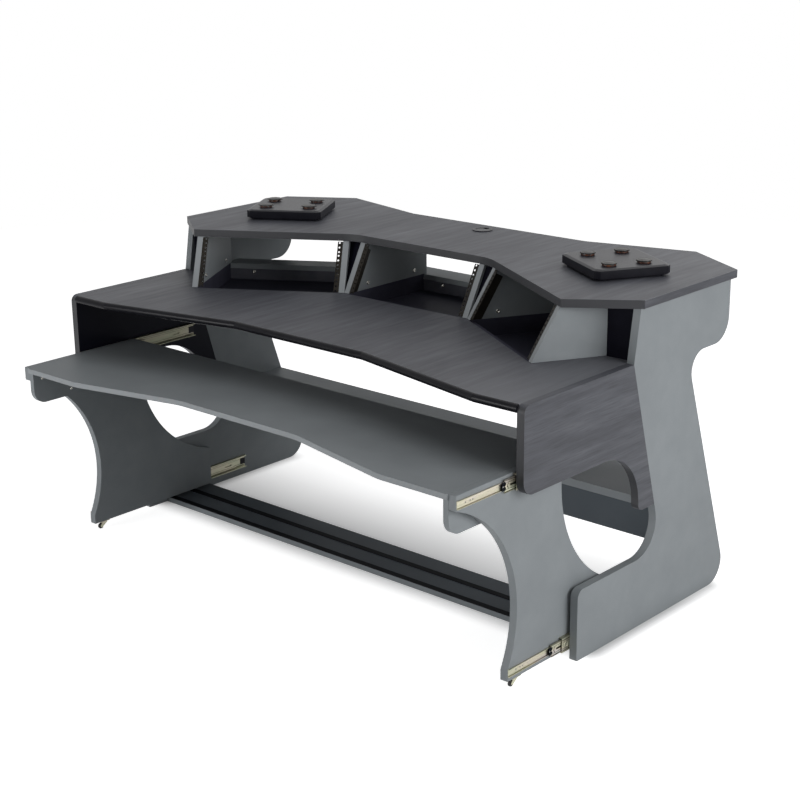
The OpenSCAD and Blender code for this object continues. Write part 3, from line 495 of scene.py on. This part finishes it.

# %% [markdown]
# ### Metals
# The rack rails are punched steel with a black powder coat, whose fine orange peel breaks up the
# highlights. The slides are cold-rolled steel with a yellow passivated zinc layer: pale straw,
# with patches that turn greenish and pinkish, and long drawing lines along the slide. An even
# metal would only mirror the white studio, so painted shade darkens the faces that look into the
# desk, and lines of painted shade darken the corners of the channels. The screws are nickel
# plated.

# %% Powder coat
powder_coat, tree, shader = new_finish("powder_coat", roughness=0.42, specular=0.13)
peel = pattern(tree, (850.0, 850.0, 850.0), 2.0)
tone = pattern(tree, (22.0, 22.0, 22.0), 2.0)
coat = colours(tree, tone, [(0.35, (0.010, 0.0085, 0.0065)), (0.65, (0.016, 0.0135, 0.0100))])
feed(tree, coat, shader.inputs["Base Color"])
feed(tree, spread(tree, peel, 0.3, 0.7, 0.36, 0.50), shader.inputs["Roughness"])
relief(tree, shader, peel, 0.04, 0.7)
print(powder_coat.name, "has", len(tree.nodes), "nodes")

# %% Zinc
DRAWN_LINE = (0.24, 0.23, 0.18)

zinc, tree, shader = new_finish("zinc_plate", metallic=1.0, roughness=0.4)
hue = pattern(tree, (26.0, 7.0, 34.0), 3.0)
lines = pattern(tree, (500.0, 4.0, 900.0), 2.0)
passivated = colours(tree, hue, [
    (0.34, (0.38, 0.40, 0.30)), (0.46, (0.47, 0.45, 0.34)), (0.55, (0.50, 0.46, 0.37)),
    (0.64, (0.46, 0.42, 0.40)), (0.74, (0.36, 0.41, 0.38))])
drawn = mixed(tree, spread(tree, lines, 0.35, 0.65, 0.0, 0.30), passivated, DRAWN_LINE)
feed(tree, spread(tree, lines, 0.3, 0.7, 0.32, 0.48), shader.inputs["Roughness"])
relief(tree, shader, lines, 0.015, 0.6)
print(zinc.name, "has", len(tree.nodes), "nodes")

# %% Painted shade on the zinc
# The heights of the slides' middles, and one that lies between them, in millimetres.
LOWER_SLIDE, UPPER_SLIDE, BETWEEN_SLIDES = 54, 611, 300
SHADED_ZINC, CHANNEL_SHADE = (0.05, 0.055, 0.035), (0.022, 0.020, 0.013)

height = split(tree, "Object")["Z"]
upper = maths(tree, "GREATER_THAN", height, BETWEEN_SLIDES * MM)
middle = maths(tree, "ADD", maths(tree, "MULTIPLY", upper, (UPPER_SLIDE - LOWER_SLIDE) * MM),
               LOWER_SLIDE * MM)
off_middle = maths(tree, "ABSOLUTE", maths(tree, "SUBTRACT", height, middle))


def shade_line(distance, half):
    """0.75 on the two lines along a slide that lie this far, in mm, off its middle, else 0."""
    gap = maths(tree, "ABSOLUTE", maths(tree, "SUBTRACT", off_middle, distance * MM))
    return spread(tree, gap, half * MM, 0.5 * half * MM, 0.0, 0.75)


# Painted shade: dark lines along the inner corners of the slide channels.
corners = maths(tree, "MAXIMUM", shade_line(9.6, 1.0), shade_line(16.0, 2.2))
corners = maths(tree, "MULTIPLY", corners, spread(tree, facing(tree, "X"), 0.8, 0.9, 0.0, 1.0))
# Painted shade: the faces that look into the desk are darker, more on the upper slide than the
# lower.
oil = maths(tree, "MULTIPLY", spread(tree, inward(tree), 0.6, 0.7, 0.0, 1.0),
            spread(tree, height, 0.3, 0.4, 0.30, 0.66))
drawn = mixed(tree, oil, drawn, SHADED_ZINC)
drawn = mixed(tree, corners, drawn, CHANNEL_SHADE)
feed(tree, drawn, shader.inputs["Base Color"])
print(zinc.name, "has", len(tree.nodes), "nodes with its oil and grease")

# %% Nickel
nickel, tree, shader = new_finish("nickel_plate", metallic=1.0, roughness=0.16)
tarnish = pattern(tree, (300.0, 300.0, 300.0), 3.0)
plate = colours(tree, tarnish, [(0.35, (0.34, 0.33, 0.30)), (0.65, (0.52, 0.51, 0.47))])
feed(tree, plate, shader.inputs["Base Color"])
feed(tree, spread(tree, tarnish, 0.3, 0.7, 0.12, 0.26), shader.inputs["Roughness"])
print(nickel.name, "has", len(tree.nodes), "nodes")

# %% [markdown]
# ### Plastics and rubber
# The bumper is an extruded half-round strip of glossy black plastic. The pads and the wheels are
# moulded in a satin black, with the fine grain of the mould. The strips on the floor rail are matt
# rubber. They differ in grain and gloss more than in colour, so one helper makes all but the
# bumper. The pucks under a loudspeaker have an amber gel core, which lets a little light into it.

# %% Glossy bumper
bumper_black, tree, shader = new_finish("bumper_black", roughness=0.22, specular=0.09)
flow = pattern(tree, (18.0, 18.0, 260.0), 2.0)
gloss = colours(tree, flow, [(0.35, (0.006, 0.006, 0.008)), (0.65, (0.010, 0.010, 0.013))])
feed(tree, gloss, shader.inputs["Base Color"])
feed(tree, spread(tree, flow, 0.35, 0.65, 0.20, 0.28), shader.inputs["Roughness"])
print(bumper_black.name, "has", len(tree.nodes), "nodes")


# %% Moulded blacks and rubber
def moulded(name, dark, light, rough, grain_size, depth, specular=0.3, side_specular=None):
    """side_specular is for upright faces; without it they shine like the level ones."""
    finish, tree, shader = new_finish(name, roughness=rough, specular=specular)
    leather = pattern(tree, (grain_size, grain_size, grain_size), 2.0)
    tone = pattern(tree, (16.0, 16.0, 16.0), 2.0)
    feed(tree, colours(tree, tone, [(0.35, dark), (0.65, light)]), shader.inputs["Base Color"])
    if side_specular is not None:
        feed(tree, spread(tree, facing(tree, "Z"), 0.5, 0.9, side_specular, specular),
             shader.inputs["Specular IOR Level"])
    feed(tree, spread(tree, leather, 0.3, 0.7, rough - 0.06, rough + 0.08),
         shader.inputs["Roughness"])
    relief(tree, shader, leather, depth, 0.6)
    print(name, "has", len(tree.nodes), "nodes")
    return finish


satin_black = moulded("satin_black", (0.004, 0.004, 0.007), (0.008, 0.008, 0.012),
                      0.36, 1100.0, 0.03, specular=0.20, side_specular=0.09)
cap_black = moulded("cap_black", (0.011, 0.010, 0.010), (0.018, 0.017, 0.016),
                    0.42, 900.0, 0.03, specular=0.24)
wheel_black = moulded("wheel_black", (0.010, 0.010, 0.011), (0.018, 0.018, 0.019),
                      0.42, 800.0, 0.02)
strip_black = moulded("strip_black", (0.003, 0.0035, 0.005), (0.006, 0.007, 0.009),
                      0.62, 600.0, 0.05, specular=0.04)

# %% Amber gel
amber_gel, tree, shader = new_finish("amber_gel", roughness=0.32)
cloudy = pattern(tree, (75.0, 75.0, 60.0), 3.0)
amber = colours(tree, cloudy, [
    (0.35, (0.016, 0.006, 0.004)), (0.52, (0.050, 0.012, 0.005)), (0.70, (0.150, 0.045, 0.012))])
feed(tree, amber, shader.inputs["Base Color"])
shader.inputs["Subsurface Weight"].default_value = 0.12
shader.inputs["Subsurface Radius"].default_value = (0.006, 0.002, 0.001)
feed(tree, spread(tree, cloudy, 0.3, 0.7, 0.25, 0.42), shader.inputs["Roughness"])
print(amber_gel.name, "has", len(tree.nodes), "nodes")

# %% [markdown]
# ## Dress the CAD nodes
# The CAD meshes keep their shape. Each gets the finish of its material slot, except for some
# boards that have one of their own, and a narrow bevel: the sharp arrises of the CAD would catch
# no light, while a real board's edge is eased by about a millimetre and shows as a fine bright
# line. The edge could be cut into the mesh, but a modifier leaves the CAD as it is. The meshes
# come in as loose triangles, so a Weld modifier joins them first, and the last modifier keeps the
# large faces flat.

# %% Finishes by material slot
slot_of = {part["node"]: part["material_slot"] for part in frame["record"]["subparts"]}
finish_of = {
    "dark_wood": dark_wood, "grey_board": grey_board, "black_board": niche_black,
    "black_steel": powder_coat, "zinc_steel": zinc, "nickel": nickel, "black_trim": bumper_black,
    "black_plastic": satin_black, "puck_rubber": amber_gel, "strip_rubber": strip_black,
    "wheel_plastic": wheel_black,
}
# The first start that fits a node's name counts, so the rail's strips come before the rail.
finish_by_name = {
    "cheek": cheek_wood, "desktop": desktop_wood, "rack_side": banded_board,
    "keyboard_shelf": banded_board, "rack_well": well_black, "rack_back": back_black,
    "floor_rail_strips": strip_black, "floor_rail": rail_board, "stretcher": stretcher_board,
}
for name, cad in node.items():
    special = [finish for start, finish in finish_by_name.items() if name.startswith(start)]
    cad.data.materials.clear()
    cad.data.materials.append(special[0] if special else finish_of[slot_of[name]])
print({slot: sum(1 for s in slot_of.values() if s == slot) for slot in finish_of})

# %% Eased edges
EASED_MM = {"dark_wood": 1.3, "grey_board": 1.3, "black_board": 0.9, "zinc_steel": 0.35}
JOINED_WITHIN = 0.00001


def ease(name, width, segments=2, angle=0.6):
    """Rounds the edges that turn by more than the angle, by a width in millimetres."""
    cad = node[name]
    weld = cad.modifiers.new("join", "WELD")
    weld.merge_threshold = JOINED_WITHIN
    soft = cad.modifiers.new("ease", "BEVEL")
    soft.width = width * MM
    soft.segments = segments
    soft.limit_method = "ANGLE"
    soft.angle_limit = angle
    flatten = cad.modifiers.new("flatten", "WEIGHTED_NORMAL")
    flatten.weight = 50
    for face in cad.data.polygons:
        face.use_smooth = True


for name, slot in slot_of.items():
    if slot in EASED_MM:
        ease(name, EASED_MM[slot])
    elif name.startswith("pad_tray"):
        ease(name, 1.4, segments=3, angle=0.3)
print("eased", sum(1 for o in node.values() if "ease" in o.modifiers), "nodes")

# %% [markdown]
# ## New pieces
# Small hardware looks best when it has its rounded edges, recesses and hubs, which the plain CAD
# solids leave out. Each such piece could be modelled by hand, but here it is built with bmesh
# operators, so its sizes can be read and changed. It is turned and moved to its place inside the
# mesh, and rides on the body that carries it. Where it stands for a CAD node, that node is hidden.

# %% Helpers for pieces
def as_piece(name, shape, finish, body, slot, *stands_for):
    """Makes an object of a bmesh, which is freed, and sets it on its body in the scene."""
    bmesh.ops.remove_doubles(shape, verts=shape.verts, dist=1e-6)
    bmesh.ops.recalc_face_normals(shape, faces=shape.faces)
    for face in shape.faces:
        face.smooth = True
    mesh = bpy.data.meshes.new(name)
    shape.to_mesh(mesh)
    shape.free()
    mesh.materials.append(finish)
    piece = bpy.data.objects.new(name, mesh)
    bpy.context.scene.collection.objects.link(piece)
    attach(piece, body)
    if stands_for:
        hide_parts(*stands_for)
    print(name, "has", len(mesh.polygons), "faces")


def turned(profile, segments):
    """A turned shape: the profile's (radius, height) points in millimetres, spun round Z."""
    shape = bmesh.new()
    points = [shape.verts.new((r * MM, 0, h * MM)) for r, h in profile]
    edges = [shape.edges.new(pair) for pair in zip(points, points[1:])]
    bmesh.ops.spin(shape, geom=points + edges, cent=(0, 0, 0), axis=(0, 0, 1),
                   angle=math.tau, steps=segments, use_merge=True)
    bmesh.ops.remove_doubles(shape, verts=shape.verts, dist=1e-7)
    return shape


def add(target, shape, matrix):
    """Copies a shape into another at a place, and keeps the original."""
    mesh = bpy.data.meshes.new("passing")
    shape.to_mesh(mesh)
    mesh.transform(matrix)
    target.from_mesh(mesh)
    bpy.data.meshes.remove(mesh)


# %% Places in the rack bays
BAY_TURN = math.radians(30.5)
BAY_WIDTH, BAY_FRONT = 528.0, 597.0
PIVOT = BAY_WIDTH / 2


def in_bay(bay, u, n, z):
    """Point u along a bay's front and n behind it, and the bay's turn; bay is -1, 0 or 1."""
    if bay == 0:
        return place(u - PIVOT, BAY_FRONT + n, z), 0.0
    x = PIVOT + u * math.cos(BAY_TURN) + n * math.sin(BAY_TURN)
    y = BAY_FRONT - u * math.sin(BAY_TURN) + n * math.cos(BAY_TURN)
    return place(bay * x, y, z), -bay * BAY_TURN


print("outer front corner of the right bay:", in_bay(1, BAY_WIDTH, 0, 0)[0][:])

# %% [markdown]
# ### Screws
# The rack's side boards and back boards are held by nickel-plated connector bolts. Seen close,
# each is a bright domed ring round a dark round socket. A cylinder with a hole cut into it would
# have hard edges, so a bolt is one turned profile instead: the socket is its low middle, closed by
# a flat floor, and the ring's shoulders are rounded by a few points.

# %% Screws
RACK_BOARD = 20
SIDE_BOLT_Z, SIDE_BOLT_DEPTHS = 847.5, (95, 329)
BACK_BOLT_Z, BACK_BOLT_DEPTH, BACK_BOLT_IN = 798.25, 377, 108
BRACKET_FACE = 869.3
TRAY_BOLTS = ((-198, 599), (-86, 539))


def ring_bolt(radius, socket):
    """A flat ring with rounded shoulders round a socket, standing on Z = 0."""
    return turned([(0, 0.4), (socket, 0.4), (socket + 0.3, 1.7), (socket + 0.8, 2.0),
                   (radius - 1.2, 1.9), (radius - 0.4, 1.5), (radius, 0.9), (radius, 0.0)], 28)


def bolt_at(target, bolt, point, direction):
    """Adds a bolt whose head looks in a direction."""
    facing_out = Vector(direction).to_track_quat("Z", "Y").to_matrix().to_4x4()
    add(target, bolt, Matrix.Translation(point) @ facing_out)


big_bolt = ring_bolt(6.5, 3.0)
rack_bolts = bmesh.new()
for bay in (-1, 0, 1):
    for n in SIDE_BOLT_DEPTHS:
        for u, way in ((RACK_BOARD, 1), (BAY_WIDTH - RACK_BOARD, -1)):
            point, swing = in_bay(bay, u, n, SIDE_BOLT_Z)
            side = bay if bay else 1
            inside = Vector((math.cos(swing), math.sin(swing), 0)) * side * way
            bolt_at(rack_bolts, big_bolt, point, inside)
    for u in (BACK_BOLT_IN, BAY_WIDTH - BACK_BOLT_IN):
        point, swing = in_bay(bay, u, BACK_BOLT_DEPTH, BACK_BOLT_Z)
        bolt_at(rack_bolts, big_bolt, point, (math.sin(swing), -math.cos(swing), 0))
as_piece("rack_bolts", rack_bolts, nickel, "desk", "nickel", "rack_screws")

small_bolt = ring_bolt(4.5, 2.0)
tray_bolts = bmesh.new()
for side in (-1, 1):
    for y, z in TRAY_BOLTS:
        bolt_at(tray_bolts, small_bolt, place(side * BRACKET_FACE, y, z), (-side, 0, 0))
as_piece("tray_bolts", tray_bolts, nickel, "keyboard_tray", "nickel", "tray_screws")
big_bolt.free()
small_bolt.free()

# %% [markdown]
# ### Isolation pucks
# A loudspeaker stands on four pucks on each pad. A puck is a short amber gel core under a wider
# black cap with two small ears. One mesh could carry two materials, but the core counts as rubber
# and the cap as plastic, so they are two pieces: turned profiles with rounded shoulders, and ears
# that are short turned pegs sunk into the cap's rim.

# %% Isolation pucks
PAD_BODY_TOP = 1044
PAD_MIDDLES = ((1, 261, 377), (-1, 277, 389))
PUCK_ALONG, PUCK_ACROSS = 77, 56.5
EAR_OUT = 26
core = turned([(0, 0), (20.4, 0), (21.0, 0.7), (20.5, 1.7), (20.9, 2.7), (20.4, 3.8), (20.8, 5.0),
               (0, 5.0)], 48)
cap = turned([(0, 5.0), (23.4, 5.0), (24.0, 5.6), (24.0, 8.1), (23.5, 8.8), (22.6, 9.0),
              (18.4, 9.0), (17.9, 8.7), (17.3, 9.0), (0, 9.0)], 48)
ear = turned([(0, 5.0), (2.7, 5.0), (3.0, 5.3), (3.0, 6.1), (2.6, 6.5), (0, 6.5)], 16)
puck_cores, puck_caps = bmesh.new(), bmesh.new()
for bay, u, n in PAD_MIDDLES:
    for along in (-PUCK_ALONG, PUCK_ALONG):
        for across in (-PUCK_ACROSS, PUCK_ACROSS):
            point, swing = in_bay(bay, u + along, n + across, PAD_BODY_TOP)
            seat = Matrix.Translation(point) @ Matrix.Rotation(swing, 4, "Z")
            add(puck_cores, core, seat)
            add(puck_caps, cap, seat)
            for ear_x in (-EAR_OUT, EAR_OUT):
                add(puck_caps, ear, seat @ Matrix.Translation((ear_x * MM, 0, 0)))
for shape in (core, cap, ear):
    shape.free()
as_piece("puck_cores", puck_cores, amber_gel, "desk", "puck_rubber", "pad_pucks")
as_piece("puck_caps", puck_caps, cap_black, "desk", "black_plastic")

# %% [markdown]
# ### Castor wheels
# The tray's front runs on two small wheels close to the floor. A moulded wheel has a rounded
# tread, a recessed disc and a raised hub, which a plain cylinder lacks. Both its sides are alike,
# so half of the profile is written down and mirrored, turned once, and the wheel is laid on its
# axle.

# %% Castor wheels
for word in ("left", "right"):
    low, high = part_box("castor_wheel_" + word)
    radius = (high.z - low.z) / 2 / MM
    half = (high.x - low.x) / 2 / MM
    # Radius, and depth below the wheel's side, from the bore to the tread.
    one_side = [(1.6, 0.0), (3.4, 0.0), (3.8, 0.9), (radius - 2.6, 0.9), (radius - 1.8, 0.2),
                (radius - 0.8, 0.4), (radius, 1.6)]
    profile = [(r, depth - half) for r, depth in one_side]
    profile += [(r, half - depth) for r, depth in reversed(one_side)]
    wheel = turned(profile + profile[:1], 48)
    seat = Matrix.Translation((low + high) / 2) @ Matrix.Rotation(math.pi / 2, 4, "Y")
    bmesh.ops.transform(wheel, matrix=seat, verts=wheel.verts)
    as_piece("wheel_" + word, wheel, wheel_black, "wheel_" + word, "wheel_plastic",
             "castor_wheel_" + word)
    print("  radius", round(radius, 2), "half width", round(half, 2))

# %% [markdown]
# ### Slide buffers
# A black moulded buffer sits behind the web of each sliding member, and its front stands out of
# the steel with a small white rivet in it. The buffer could be a plain block, but moulded edges
# are never sharp, so all its edges get a small bevel. The rivet is a turned head.

# %% White rivets
rivet_white, tree, shader = new_finish("rivet_white", roughness=0.38)
grime = pattern(tree, (900.0, 900.0, 900.0), 3.0)
paint = colours(tree, grime, [(0.3, (0.30, 0.30, 0.28)), (0.65, (0.46, 0.46, 0.44))])
feed(tree, paint, shader.inputs["Base Color"])
print(rivet_white.name, "has", len(tree.nodes), "nodes")

# %% Slide buffers
BUFFER_THICK, BUFFER_LONG, BUFFER_TALL = 1.98, 20, 23
BUFFER_FRONTS = ((-52.4, UPPER_SLIDE), (166.6, LOWER_SLIDE))
PANEL_FACE, WEB_OFF_PANEL = 925, 5.083
RIVET_BACK, RIVET_SUNK = 4, 0.4


def rounded_block(width, depth, height, bevel):
    """A block in millimetres round the origin, with all its edges bevelled."""
    shape = bmesh.new()
    bmesh.ops.create_cube(shape, size=1.0)
    bmesh.ops.scale(shape, vec=(width * MM, depth * MM, height * MM), verts=shape.verts)
    bmesh.ops.bevel(shape, geom=list(shape.edges), offset=bevel * MM, offset_type="OFFSET",
                    segments=2, profile=0.5, affect="EDGES", clamp_overlap=True, material=-1)
    return shape


buffer = rounded_block(BUFFER_THICK, BUFFER_LONG, BUFFER_TALL, 0.5)
rivet = turned([(0, 0.7), (1.6, 0.65), (2.1, 0.4), (2.1, 0.0), (0, 0)], 20)
buffers, rivets = bmesh.new(), bmesh.new()
web_face = PANEL_FACE - WEB_OFF_PANEL
for front, level in BUFFER_FRONTS:
    for side in (-1, 1):
        x = side * (web_face - BUFFER_THICK / 2)
        add(buffers, buffer, Matrix.Translation(place(x, front + BUFFER_LONG / 2, level)))
        head = place(side * (web_face - RIVET_SUNK), front + RIVET_BACK, level)
        outward = Matrix.Rotation(side * math.pi / 2, 4, "Y")
        add(rivets, rivet, Matrix.Translation(head) @ outward)
buffer.free()
rivet.free()
as_piece("slide_buffers", buffers, strip_black, "slide_carriages", "black_plastic", "slide_stops")
as_piece("buffer_rivets", rivets, rivet_white, "slide_carriages", "black_plastic")
